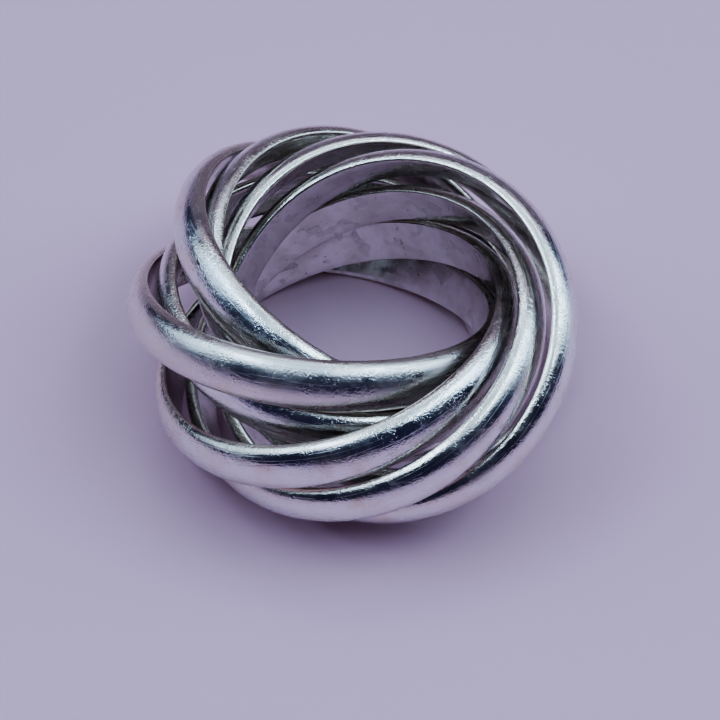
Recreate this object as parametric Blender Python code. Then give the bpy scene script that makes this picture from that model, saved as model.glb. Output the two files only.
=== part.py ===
"""A loose bundle of eight plain silver rings, each one linked through all the others.

Every ring is the same turned band: flat inside, domed outside. In the bundle each ring leans over
about the line to its outermost point, so it passes over the bundle on one side and under it on the
other, and the rings follow each other round the finger hole like the strands of a rope.
Metres, +Z up. The bundle lies on the plane z = 0, with the origin under the middle of its box.
"""

import math

import bmesh
import bpy
from mathutils import Matrix, Vector

MM = 0.001

# One ring
INNER_RADIUS = 11.25 * MM
BAND_WIDTH = 3.4 * MM
BAND_THICKNESS = 1.25 * MM
EDGE_CHAMFER = 0.14 * MM
DOME_SPANS = 6
SEGMENTS = 64

# Polished silver, worn
SILVER = (0.80, 0.79, 0.80, 1.0)
ROUGHNESS = 0.14

# How each ring lies: the middle of the ring (x, y, z, mm), the heading of its outermost point
# (degrees, counter-clockwise from +X) and how far it leans over about that heading (degrees).
RING_POSES = {
    "ring_1": (1.9, 1.5, 6.2, 30, 24.0),
    "ring_2": (0.2, 2.8, 6.6, 79, 26.0),
    "ring_3": (-1.3, 2.9, 7.3, 117, 30.5),
    "ring_4": (-1.2, 0.8, 7.3, 141, 9.5),
    "ring_5": (-3.0, 0.3, 6.9, 175, 28.5),
    "ring_6": (-1.6, -1.9, 6.2, 236, 23.5),
    "ring_7": (0.1, -2.4, 6.9, 281, 24.5),
    "ring_8": (1.9, -1.9, 7.9, 318, 32.0),
}


def band_profile():
    """The D-shaped section as (radius, height along the ring's axis), counter-clockwise."""
    half = BAND_WIDTH / 2
    spring = INNER_RADIUS + EDGE_CHAMFER
    rise = BAND_THICKNESS - EDGE_CHAMFER
    points = [(INNER_RADIUS, EDGE_CHAMFER - half)]
    for i in range(DOME_SPANS + 1):
        angle = math.pi * (i / DOME_SPANS - 0.5)
        points.append((spring + rise * math.cos(angle), half * math.sin(angle)))
    points.append((INNER_RADIUS, half - EDGE_CHAMFER))
    return points


def band_mesh():
    """The ring turned about its own Z axis, centred on its origin."""
    bm = bmesh.new()
    profile = band_profile()
    rows = []
    for i in range(SEGMENTS):
        turn = Matrix.Rotation(2 * math.pi * i / SEGMENTS, 3, "Z")
        rows.append([bm.verts.new(turn @ Vector((r, 0.0, z))) for r, z in profile])
    for i, row in enumerate(rows):
        after = rows[(i + 1) % SEGMENTS]
        for j in range(len(profile)):
            k = (j + 1) % len(profile)
            bm.faces.new((row[j], after[j], after[k], row[k]))
    bmesh.ops.recalc_face_normals(bm, faces=bm.faces)
    mesh = bpy.data.meshes.new("band")
    bm.to_mesh(mesh)
    bm.free()
    mesh.shade_smooth()
    mesh.set_sharp_from_angle(angle=math.radians(35))
    return mesh


def silver_material():
    material = bpy.data.materials.new("silver")
    material.use_nodes = True
    shader = material.node_tree.nodes["Principled BSDF"]
    shader.inputs["Base Color"].default_value = SILVER
    shader.inputs["Metallic"].default_value = 1.0
    shader.inputs["Roughness"].default_value = ROUGHNESS
    return material


def ring_matrix(x, y, z, heading, lean):
    """Ring frame: X points to the outermost point, and Z, its axis, leans back by the lean."""
    turn = Matrix.Rotation(math.radians(heading), 4, "Z")
    tilt = Matrix.Rotation(math.radians(lean), 4, "X")
    return Matrix.Translation(Vector((x, y, z)) * MM) @ turn @ tilt


def clear_scene():
    for item in list(bpy.data.objects):
        bpy.data.objects.remove(item, do_unlink=True)


def settle(rings):
    """Move the bundle so that it lies on z = 0 with the origin under the middle of its box."""
    bpy.context.view_layer.update()
    corners = [ring.matrix_world @ vert.co for ring in rings for vert in ring.data.vertices]
    low = Vector([min(c[axis] for c in corners) for axis in range(3)])
    high = Vector([max(c[axis] for c in corners) for axis in range(3)])
    middle = (low + high) / 2
    for ring in rings:
        ring.location -= Vector((middle.x, middle.y, low.z))


def main():
    clear_scene()
    mesh = band_mesh()
    mesh.materials.append(silver_material())
    rings = []
    for name, pose in RING_POSES.items():
        ring = bpy.data.objects.new(name, mesh)
        ring.matrix_world = ring_matrix(*pose)
        bpy.context.collection.objects.link(ring)
        rings.append(ring)
    settle(rings)


main()
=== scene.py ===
"""Worn, polished silver rings, finely turned and dented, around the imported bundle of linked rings."""

import math
from collections import namedtuple

import bmesh
import bpy
import numpy
from mathutils import Matrix, Vector, noise


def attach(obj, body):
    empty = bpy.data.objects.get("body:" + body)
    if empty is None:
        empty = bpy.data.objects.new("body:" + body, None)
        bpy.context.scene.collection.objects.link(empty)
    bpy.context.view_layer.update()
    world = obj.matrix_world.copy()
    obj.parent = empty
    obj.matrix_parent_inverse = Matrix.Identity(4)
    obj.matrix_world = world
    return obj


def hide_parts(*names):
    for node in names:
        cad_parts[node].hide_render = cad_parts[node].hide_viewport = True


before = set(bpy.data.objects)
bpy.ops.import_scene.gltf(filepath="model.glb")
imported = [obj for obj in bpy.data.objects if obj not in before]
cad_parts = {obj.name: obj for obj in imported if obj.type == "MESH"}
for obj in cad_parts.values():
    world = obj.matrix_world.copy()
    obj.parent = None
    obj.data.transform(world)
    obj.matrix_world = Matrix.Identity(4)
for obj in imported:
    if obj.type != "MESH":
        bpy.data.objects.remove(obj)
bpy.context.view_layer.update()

MM = 0.001
GOLDEN_ANGLE = 2.39996

# Fine ring mesh
AROUND = 384
DOME_STEPS = 26
EDGE_STEPS = 4
FLAT_STEPS = 8
EDGE_RADIUS = 0.15 * MM

# Wear that is in the shape: long soft waves and small dents, full on the dome and weaker on the flat
WAVE_LENGTH = 4.0 * MM
WAVE_DEPTH = 0.012 * MM
DENT_LENGTH = 1.1 * MM
DENT_DEPTH = 0.005 * MM
FLAT_WEAR = 0.3
MOST_PROUD = 0.01 * MM
WEAR_SHIFT = Vector((31.0, 17.0, 23.0))

# Nicks: two in three lie along a rim, and every third one on the shoulder of the dome
NICKS_PER_RING = 14
NICK_SIZE = 0.22 * MM
NICK_DEPTH = 0.035 * MM
NICK_FADE = 2.0
NICK_REACH = 2.0
NICK_TURN = 1.7
LEAST_NICK = 0.45
RIM_RISE = 1.2 * EDGE_RADIUS
RIM_SIDE = 0.97
SHOULDER_RISE = 0.7
SHOULDER_SIDE = 0.72

# How far a ring's dome is worn to a satin, from 0 to 1, which also paints an olive reflection on it: the
# one over the near side is, the others aren't
SATIN_WEAR = {"ring_5": 1.0}

# Each ring's soldered joint, turned round from ring to ring
SEAM_RADIUS = 11.9 * MM
SEAM_START = 1.56
SEAM_STEP = 2.4

# Material coordinates in mm, set apart from ring to ring so that no two rings have the same marks
PLACE_NAME = "ring_mm"
FLAT_NAME = "around_across"
WEAR_NAME = "satin_wear"
PLACE_SHIFT = Vector((40.0, 0, 0))
FLAT_SHIFT = 11.0

# Material slots: a face belongs to the dome if its two dome shares add up to at least this
DOME_SLOT, BORE_SLOT = 0, 1
LEAST_DOME = 0.3

# Camera, as the photograph's: near side of the bundle, looking down at about 53 degrees
CAMERA_PLACE = Vector((0.72, -82.18, 109.59)) * MM
CAMERA_TARGET = Vector((0.72, -3.76, 7.09)) * MM
CAMERA_ROLL = 3.74
LENS = 99.1
SENSOR = 36.0
CLIP_START = 1 * MM
CLIP_END = 10.0

# Stage
DAYLIGHT = (0.58, 0.79, 1.0)
LILAC = (0.88, 0.76, 1.0)
FLOOR_COLOUR = (0.77, 0.49, 0.60, 1)
FLOOR_ROUGHNESS = 0.6
FLOOR_HALF = 1.5
WORLD_COLOUR = (0.30, 0.34, 0.80, 1)
WORLD_STRENGTH = 0.07
LIGHT_TARGET = Vector((0, 0, 6)) * MM

# Soft boxes: place and size in mm, glow as radiance
SOFTBOXES = (
    ("softbox_top", (0, -10, 420), (900, 400), 0.88, DAYLIGHT),
    ("softbox_far_edge", (0, 225, 420), (420, 60), 2.9, DAYLIGHT),
    ("softbox_left_edge", (-190, -70, 420), (300, 90), 3.4, DAYLIGHT),
    ("softbox_right_edge", (190, -50, 420), (300, 90), 3.4, DAYLIGHT),
    ("softbox_far", (0, 340, 400), (800, 110), 0.45, LILAC),
    ("softbox_far_low", (0, 520, 170), (900, 300), 0.16, LILAC),
    ("softbox_left", (-400, 30, 300), (340, 400), 1.12, DAYLIGHT),
    ("softbox_right", (400, 80, 350), (300, 340), 2.0, DAYLIGHT),
    ("softbox_right_low", (480, 130, 110), (220, 200), 1.0, DAYLIGHT),
)


# ---------------------------------------------------------------- rings

def ring_frame(node):
    """A ring's place as a matrix: X to its outermost point, Z along its axis. And its sizes."""
    points = numpy.array([v.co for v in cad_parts[node].data.vertices], float)
    centre = points.mean(0)
    offsets = points - centre
    axis = Vector(numpy.linalg.eigh(offsets.T @ offsets)[1][:, 0])
    if axis.z < 0:
        axis.negate()
    outward = Vector((0, 0, 1)).cross(axis).normalized()
    across = axis.cross(outward)
    place = Matrix((outward, across, axis)).transposed().to_4x4()
    place.translation = Vector(centre)
    along = offsets @ numpy.array(axis)
    radius = numpy.linalg.norm(offsets - numpy.outer(along, axis), axis=1)
    sizes = {"inner": radius.min(), "outer": radius.max(), "half": along.max()}
    return place, sizes


def ring_profile(sizes):
    """The D-shaped section, counter-clockwise from the lower rim: (radius, height, dome share)."""
    inner, half = sizes["inner"], sizes["half"]
    spring = inner + EDGE_RADIUS
    rise = sizes["outer"] - spring
    points = []
    for i in range(EDGE_STEPS):
        angle = math.pi / 2 * i / EDGE_STEPS
        radius = spring - EDGE_RADIUS * math.cos(angle)
        height = EDGE_RADIUS - half - EDGE_RADIUS * math.sin(angle)
        points.append((radius, height, i / EDGE_STEPS))
    for i in range(DOME_STEPS + 1):
        angle = math.pi * (i / DOME_STEPS - 0.5)
        points.append((spring + rise * math.cos(angle), half * math.sin(angle), 1.0))
    for i in range(1, EDGE_STEPS + 1):
        angle = math.pi / 2 * i / EDGE_STEPS
        radius = spring - EDGE_RADIUS * math.sin(angle)
        height = half - EDGE_RADIUS + EDGE_RADIUS * math.cos(angle)
        points.append((radius, height, 1 - i / EDGE_STEPS))
    for i in range(1, FLAT_STEPS):
        points.append((inner, (half - EDGE_RADIUS) * (1 - 2 * i / FLAT_STEPS), 0.0))
    return points


def nick_places(sizes, seed):
    """Where the small nicks are, spread by golden-angle steps around the ring."""
    places = []
    for i in range(NICKS_PER_RING):
        angle = GOLDEN_ANGLE * (i + 1) + NICK_TURN * seed
        side = 1 if i % 2 else -1
        # Sizes jump about in tenths from nick to nick, and start elsewhere on each ring
        share = LEAST_NICK + (1 - LEAST_NICK) * ((i * 7 + seed * 3) % 10) / 10
        if i % 3 == 0:
            radius = sizes["inner"] + SHOULDER_RISE * (sizes["outer"] - sizes["inner"])
            height = side * sizes["half"] * SHOULDER_SIDE
        else:
            radius = sizes["inner"] + RIM_RISE
            height = side * sizes["half"] * RIM_SIDE
        centre = Vector((radius * math.cos(angle), radius * math.sin(angle), height))
        places.append((centre, NICK_SIZE * share, NICK_DEPTH * share))
    return places


def worn(point, inward, dome, seed, nicks):
    """A surface point moved in by the wear: waves, dents and nicks."""
    shift = WEAR_SHIFT * seed
    wave = noise.noise(point / WAVE_LENGTH + shift)
    dent = noise.noise(point / DENT_LENGTH + shift)
    depth = (FLAT_WEAR + (1 - FLAT_WEAR) * dome) * (WAVE_DEPTH * wave + DENT_DEPTH * dent)
    for centre, size, deep in nicks:
        reach = (point - centre).length / size
        if reach < NICK_REACH:
            depth += deep * math.exp(-NICK_FADE * reach * reach)
    return point + inward * max(depth, -MOST_PROUD)


def add_rows(bm, profile, sizes, seed, satin):
    """One row of worn points for each step round the ring, from its soldered joint."""
    local = bm.verts.layers.float_vector[PLACE_NAME]
    satin_layer = bm.verts.layers.float[WEAR_NAME]
    nicks = nick_places(sizes, seed)
    middle = 0.5 * (sizes["inner"] + sizes["outer"])
    start = SEAM_START + SEAM_STEP * seed
    rows = []
    for i in range(AROUND):
        angle = start + 2 * math.pi * i / AROUND
        ray = Vector((math.cos(angle), math.sin(angle), 0))
        row = []
        for radius, height, dome in profile:
            point = ray * radius + Vector((0, 0, height))
            inward = (ray * middle - point).normalized()
            vert = bm.verts.new(worn(point, inward, dome, seed, nicks))
            vert[local] = point / MM + PLACE_SHIFT * seed
            vert[satin_layer] = satin
            row.append(vert)
        rows.append(row)
    return rows


def section_steps(profile):
    """How far round the section each point is from the first, and the whole way round, in mm."""
    steps = [0.0]
    for j, (radius, height, _) in enumerate(profile):
        after = profile[(j + 1) % len(profile)]
        steps.append(steps[-1] + math.hypot(after[0] - radius, after[1] - height))
    return [step / MM for step in steps]


def add_faces(bm, rows, profile, seed):
    """The faces between the rows, with their material slots and their UVs in mm."""
    uv_layer = bm.loops.layers.uv[FLAT_NAME]
    across = section_steps(profile)
    around = 2 * math.pi * SEAM_RADIUS / MM / AROUND
    count = len(profile)
    for i in range(AROUND):
        after = rows[(i + 1) % AROUND]
        for j in range(count):
            k = (j + 1) % count
            face = bm.faces.new((rows[i][j], after[j], after[k], rows[i][k]))
            face.smooth = True
            on_flat = profile[j][2] + profile[k][2] < LEAST_DOME
            face.material_index = BORE_SLOT if on_flat else DOME_SLOT
            corners = ((i, j), (i + 1, j), (i + 1, j + 1), (i, j + 1))
            for loop, (a, b) in zip(face.loops, corners):
                loop[uv_layer].uv = (around * a, across[b] + FLAT_SHIFT * seed)


def ring_piece(name, node, seed):
    """A ring's fine mesh, made in its own frame and then moved to where the node is."""
    place, sizes = ring_frame(node)
    profile = ring_profile(sizes)
    bm = bmesh.new()
    bm.loops.layers.uv.new(FLAT_NAME)
    bm.verts.layers.float_vector.new(PLACE_NAME)
    bm.verts.layers.float.new(WEAR_NAME)
    rows = add_rows(bm, profile, sizes, seed, SATIN_WEAR.get(node, 0.0))
    add_faces(bm, rows, profile, seed)
    bmesh.ops.recalc_face_normals(bm, faces=bm.faces)
    mesh = bpy.data.meshes.new(name)
    bm.to_mesh(mesh)
    bm.free()
    mesh.transform(place)
    piece = bpy.data.objects.new(name, mesh)
    bpy.context.collection.objects.link(piece)
    return piece


# ---------------------------------------------------------------- material tools

# A noise over the surface, per mm, and the values that it gives at and beyond two of its levels
Pattern = namedtuple("Pattern", "scale detail rough low high first last", defaults=(0.0, 1.0))

# Fine straight scratches: their direction in radians, and their sizes in mm
Scratches = namedtuple("Scratches", "turn spacing length width")
SCRATCH_BREAKS = Pattern(scale=2.3, detail=0.0, rough=0.5, low=0.48, high=0.60)

# Detail of a noise that has only one finer layer
SMOOTH = 1.0


class Nodes:
    """A few short calls that build a material's nodes."""

    def __init__(self, name):
        self.material = bpy.data.materials.new(name)
        self.material.use_nodes = True
        self.tree = self.material.node_tree
        self.shader = self.tree.nodes["Principled BSDF"]

    def add(self, kind, settings=None, inputs=None):
        node = self.tree.nodes.new("ShaderNode" + kind)
        for key, value in (settings or {}).items():
            setattr(node, key, value)
        for key, value in (inputs or {}).items():
            self.feed(node.inputs[key], value)
        return node

    def feed(self, socket, value):
        if isinstance(value, bpy.types.NodeSocket):
            self.tree.links.new(value, socket)
        else:
            socket.default_value = value

    def link(self, source, key):
        self.tree.links.new(source, self.shader.inputs[key])

    def place(self):
        """The surface point in the ring's own frame, in mm."""
        return self.add("Attribute", {"attribute_name": PLACE_NAME}).outputs["Vector"]

    def flat(self):
        """The surface point laid flat: X around the ring and Y across the band, in mm."""
        return self.add("UVMap", {"uv_map": FLAT_NAME}).outputs["UV"]

    def wear(self):
        """How far the ring is worn to a satin, from 0 to 1."""
        return self.add("Attribute", {"attribute_name": WEAR_NAME}).outputs["Fac"]

    def part(self, vector, axis):
        return self.add("SeparateXYZ", {}, {"Vector": vector}).outputs[axis]

    def calc(self, kind, a, b=0.0):
        return self.add("Math", {"operation": kind}, {0: a, 1: b}).outputs[0]

    def most(self, values):
        """The largest of some values."""
        largest = values[0]
        for value in values[1:]:
            largest = self.calc("MAXIMUM", largest, value)
        return largest

    def total(self, terms):
        """The sum of some values, each times its share."""
        scaled = [self.calc("MULTIPLY", value, share) for value, share in terms]
        result = scaled[0]
        for value in scaled[1:]:
            result = self.calc("ADD", result, value)
        return result

    def ramp(self, value, low, high, first=0.0, last=1.0):
        inputs = {"Value": value, "From Min": low, "From Max": high, "To Min": first, "To Max": last}
        return self.add("MapRange", {}, inputs).outputs["Result"]

    def mix(self, factor, first, second):
        node = self.add("Mix", {"data_type": "RGBA"}, {"Factor": factor})
        for key, value in (("A", first), ("B", second)):
            self.feed([s for s in node.inputs if s.name == key and s.type == "RGBA"][0], value)
        return [s for s in node.outputs if s.type == "RGBA"][0]

    def noise(self, vector, scale, detail, rough=0.5):
        inputs = {"Vector": vector, "Scale": scale, "Detail": detail, "Roughness": rough}
        return self.add("TexNoise", {}, inputs).outputs["Fac"]

    def pattern(self, vector, kind):
        value = self.noise(vector, kind.scale, kind.detail, kind.rough)
        return self.ramp(value, kind.low, kind.high, kind.first, kind.last)

    def lines(self, value, width):
        """1 where a noise passes through its middle level, and 0 beyond a width on both sides."""
        away = self.calc("ABSOLUTE", self.calc("SUBTRACT", value, 0.5))
        return self.ramp(away, 0.0, width, 1.0, 0.0)

    def scratches(self, flat, kind):
        """Scratches, 0 to 1: thin lines stretched along their direction, broken up by a mask."""
        scale = (1 / kind.length, 1 / kind.spacing, 1)
        inputs = {"Vector": flat, "Rotation": (0, 0, kind.turn), "Scale": scale}
        stretched = self.add("Mapping", {}, inputs).outputs["Vector"]
        line = self.lines(self.noise(stretched, 1.0, 0.0), kind.width / kind.spacing)
        return self.calc("MULTIPLY", line, self.pattern(stretched, SCRATCH_BREAKS))

    def pits(self, vector, scale, size):
        """Small round dents, 1 at the middle of each and 0 between them."""
        inputs = {"Vector": vector, "Scale": scale, "Randomness": 1.0}
        away = self.add("TexVoronoi", {}, inputs).outputs["Distance"]
        return self.ramp(away, 0.0, size, 1.0, 0.0)

    def seam(self, flat, width):
        """How close a point is to the soldered joint across the band, 1 on it and 0 beyond."""
        away = self.calc("PINGPONG", self.part(flat, "X"), math.pi * SEAM_RADIUS / MM)
        return self.ramp(away, 0.0, width, 1.0, 0.0)

    def finish(self, height, bump_height):
        """Bump from a height, and bare metal."""
        inputs = {"Height": height, "Distance": bump_height, "Strength": 1.0}
        self.link(self.add("Bump", {}, inputs).outputs["Normal"], "Normal")
        self.shader.inputs["Metallic"].default_value = 1.0
        return self.material


# ---------------------------------------------------------------- dome material

SILVER = (0.87, 0.86, 0.86, 1.0)
# The dull silver: random dull patches, painted shade on the flanks, and a painted olive reflection on
# the satin-worn ring
SILVER_DULL_SHADE_AND_REFLECTION = (0.80, 0.72, 0.63, 1.0)

# The dome dulls in patches, and along its flanks between these two distances from its middle, in mm:
# painted shade between the rings
DULL_PATCHES = Pattern(scale=0.5, detail=4.0, rough=0.6, low=0.45, high=0.7)
FLANK_SHADE = (1.0, 1.65)

# Roughness
SATIN = Pattern(scale=0.35, detail=5.0, rough=0.65, low=0.38, high=0.64, first=0.14, last=0.30)
SCRATCH_ROUGHNESS = 0.14

# Full satin wear: the least dulling that it gives, as a painted olive reflection, and what it adds to
# the roughness and the grain
WEAR_DULL_REFLECTION = 0.5
WEAR_ROUGHNESS = 0.07
WEAR_GRAIN = -0.1

DOME_SCRATCHES = (
    Scratches(turn=0.10, spacing=0.5, length=9.0, width=0.012),
    Scratches(turn=1.05, spacing=0.9, length=8.0, width=0.022),
    Scratches(turn=-0.75, spacing=1.1, length=9.0, width=0.022),
)

# The dented grain, which is weaker where the metal is rubbed: crackle lines, pits and a fine noise
RUBBED = Pattern(scale=0.45, detail=2.0, rough=0.5, low=0.40, high=0.58, first=0.45, last=1.0)
CRACKLE_SCALE = 4.2
CRACKLE_DETAIL = 1.5
CRACKLE_WIDTH = 0.11
CRACKLE_BREAKS = Pattern(scale=2.2, detail=1.0, rough=0.5, low=0.42, high=0.52, first=0.25, last=1.0)
PIT_SCALE = 3.6
PIT_SIZE = 0.28
GRAIN_SCALE = 6.5
SWELL_SCALE = 1.8
DOME_SEAM_WIDTH = 0.07

# How far each of them, and each mark, stands out or goes in, as shares of the bump height
DOME_BUMP = 0.0072 * MM
GRAIN_SHARE = 1.8
CRACKLE_SHARE = -1.3
PIT_SHARE = -1.3
SWELL_SHARE = 0.2
SCRATCH_SHARE = -0.6
SEAM_SHARE = -0.25


def dented_grain(nodes, place, wear):
    """The height of the fine dented grain."""
    crackle = nodes.lines(nodes.noise(place, CRACKLE_SCALE, CRACKLE_DETAIL), CRACKLE_WIDTH)
    crackle = nodes.calc("MULTIPLY", crackle, nodes.pattern(place, CRACKLE_BREAKS))
    grain = nodes.total((
        (nodes.noise(place, GRAIN_SCALE, SMOOTH), GRAIN_SHARE),
        (crackle, CRACKLE_SHARE),
        (nodes.pits(place, PIT_SCALE, PIT_SIZE), PIT_SHARE),
    ))
    rubbed = nodes.total(((nodes.pattern(place, RUBBED), 1.0), (wear, WEAR_GRAIN)))
    return nodes.calc("MULTIPLY", grain, rubbed)


def dome_material():
    """Polished silver with a fine dented grain, satin patches, and scratches of three directions; its
    flanks carry painted shade, and a satin-worn dome a painted olive reflection.
    """
    nodes = Nodes("silver_dome")
    place, flat, wear = nodes.place(), nodes.flat(), nodes.wear()
    # Painted shade: the flanks near both rims, where the rings lie against each other, are dulled darker
    # and warmer
    flank_shade = nodes.ramp(nodes.calc("ABSOLUTE", nodes.part(place, "Z")), *FLANK_SHADE)
    # Painted reflection: a satin-worn dome is mixed towards the warm dull silver for an olive reflection
    worn_dull_reflection = nodes.calc("MULTIPLY", wear, WEAR_DULL_REFLECTION)
    dull_shade_and_reflection = nodes.most([nodes.pattern(place, DULL_PATCHES), flank_shade, worn_dull_reflection])
    nodes.link(nodes.mix(dull_shade_and_reflection, SILVER, SILVER_DULL_SHADE_AND_REFLECTION), "Base Color")
    marks = nodes.most([nodes.scratches(flat, kind) for kind in DOME_SCRATCHES])
    satin = nodes.pattern(place, SATIN)
    roughness = nodes.total(((satin, 1.0), (wear, WEAR_ROUGHNESS), (marks, SCRATCH_ROUGHNESS)))
    nodes.link(roughness, "Roughness")
    height = nodes.total((
        (nodes.noise(place, SWELL_SCALE, SMOOTH), SWELL_SHARE),
        (dented_grain(nodes, place, wear), 1.0),
        (marks, SCRATCH_SHARE),
        (nodes.seam(flat, DOME_SEAM_WIDTH), SEAM_SHARE),
    ))
    return nodes.finish(height, DOME_BUMP)


# ---------------------------------------------------------------- bore material

# Painted shade: the flat inside, which faces into the bundle, is a darker silver than the dome
BORE_SHADED_SILVER = (0.78, 0.76, 0.76, 1.0)
BORE_SHADED_DULL = (0.67, 0.64, 0.61, 1.0)
SILVER_HAZE = (0.58, 0.56, 0.55, 1.0)
TARNISH = (0.32, 0.26, 0.20, 1.0)

BLOTCHES = Pattern(scale=0.5, detail=4.0, rough=0.6, low=0.42, high=0.62)
STAINS = Pattern(scale=0.8, detail=1.0, rough=0.5, low=0.58, high=0.61)
STAIN_TONE = 0.5
STAIN_ROUGHNESS = 0.10
SPECKS = Pattern(scale=3.0, detail=3.0, rough=0.6, low=0.68, high=0.73)
SEAM_PITS = Pattern(scale=5.0, detail=1.0, rough=0.5, low=0.48, high=0.60)
BORE_SEAM_WIDTH = 0.10
BORE_SATIN = Pattern(scale=1.3, detail=4.0, rough=0.65, low=0.35, high=0.7, first=0.10, last=0.22)

# Turning lines: how many a mm, around and across the band
TURNING_SCALE = (0.08, 7.0, 1)
TURNING_DETAIL = 3.0
TURNING_ROUGH = 0.6
BORE_SCRATCHES = Scratches(turn=0.9, spacing=1.3, length=8.0, width=0.018)
BORE_SWELL_SCALE = 1.4
TURNING_SHARE = 0.5
BORE_BUMP = 0.004 * MM


def bore_tone(nodes, place, flat, stains):
    """The colour of the flat inside: darker silver as painted shade, with blotches, stains, specks and
    the pitted soldered joint.
    """
    tone = nodes.mix(nodes.pattern(place, BLOTCHES), BORE_SHADED_SILVER, BORE_SHADED_DULL)
    tone = nodes.mix(nodes.calc("MULTIPLY", stains, STAIN_TONE), tone, SILVER_HAZE)
    pitted = nodes.pattern(place, SEAM_PITS)
    seam = nodes.calc("MULTIPLY", nodes.seam(flat, BORE_SEAM_WIDTH), pitted)
    return nodes.mix(nodes.most([nodes.pattern(place, SPECKS), seam]), tone, TARNISH)


def bore_material():
    """The flat inside: darker silver as painted shade, fine turning lines, haze in blotches, tarnish
    specks and a solder seam.
    """
    nodes = Nodes("silver_bore")
    place, flat = nodes.place(), nodes.flat()
    stains = nodes.pattern(place, STAINS)
    nodes.link(bore_tone(nodes, place, flat, stains), "Base Color")
    satin = nodes.pattern(place, BORE_SATIN)
    nodes.link(nodes.total(((satin, 1.0), (stains, STAIN_ROUGHNESS))), "Roughness")
    lines = nodes.add("Mapping", {}, {"Vector": flat, "Scale": TURNING_SCALE}).outputs["Vector"]
    height = nodes.total((
        (nodes.noise(place, BORE_SWELL_SCALE, SMOOTH), 1.0),
        (nodes.scratches(flat, BORE_SCRATCHES), -1.0),
        (nodes.noise(lines, 1.0, TURNING_DETAIL, TURNING_ROUGH), TURNING_SHARE),
    ))
    return nodes.finish(height, BORE_BUMP)


# ---------------------------------------------------------------- stage

def aim(item, target):
    item.rotation_euler = (target - item.location).to_track_quat("-Z", "Y").to_euler()


def add_camera():
    camera = bpy.data.objects.new("camera", bpy.data.cameras.new("camera"))
    bpy.context.collection.objects.link(camera)
    camera.data.sensor_width = SENSOR
    camera.data.lens = LENS
    camera.data.clip_start = CLIP_START
    camera.data.clip_end = CLIP_END
    camera.location = CAMERA_PLACE
    aim(camera, CAMERA_TARGET)
    tilt = camera.rotation_euler.to_matrix() @ Matrix.Rotation(math.radians(CAMERA_ROLL), 3, "Z")
    camera.rotation_euler = tilt.to_euler()
    bpy.context.scene.camera = camera


def add_light(name, place, size, glow, colour):
    """A soft box that looks at the bundle, with the power that its radiance and its area need."""
    light = bpy.data.lights.new(name, "AREA")
    light.shape = "RECTANGLE"
    light.size, light.size_y = size[0] * MM, size[1] * MM
    light.energy = glow * math.pi * light.size * light.size_y
    light.color = colour
    item = bpy.data.objects.new(name, light)
    bpy.context.collection.objects.link(item)
    item.location = Vector(place) * MM
    aim(item, LIGHT_TARGET)


def add_floor():
    bm = bmesh.new()
    bmesh.ops.create_grid(bm, x_segments=1, y_segments=1, size=FLOOR_HALF)
    mesh = bpy.data.meshes.new("floor")
    bm.to_mesh(mesh)
    bm.free()
    floor = bpy.data.objects.new("floor", mesh)
    bpy.context.collection.objects.link(floor)
    nodes = Nodes("floor_paper")
    nodes.shader.inputs["Base Color"].default_value = FLOOR_COLOUR
    nodes.shader.inputs["Roughness"].default_value = FLOOR_ROUGHNESS
    mesh.materials.append(nodes.material)


def add_world():
    world = bpy.data.worlds.new("studio")
    world.use_nodes = True
    background = world.node_tree.nodes["Background"]
    background.inputs["Color"].default_value = WORLD_COLOUR
    background.inputs["Strength"].default_value = WORLD_STRENGTH
    bpy.context.scene.world = world


# ---------------------------------------------------------------- the scene

materials = [dome_material(), bore_material()]
for number, node in enumerate(sorted(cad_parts)):
    piece = ring_piece(node + "_silver", node, number + 1)
    for material in materials:
        piece.data.materials.append(material)
    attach(piece, node)
    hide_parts(node)

add_camera()
add_floor()
add_world()
for softbox in SOFTBOXES:
    add_light(*softbox)
bpy.context.scene.view_settings.look = "AgX - High Contrast"
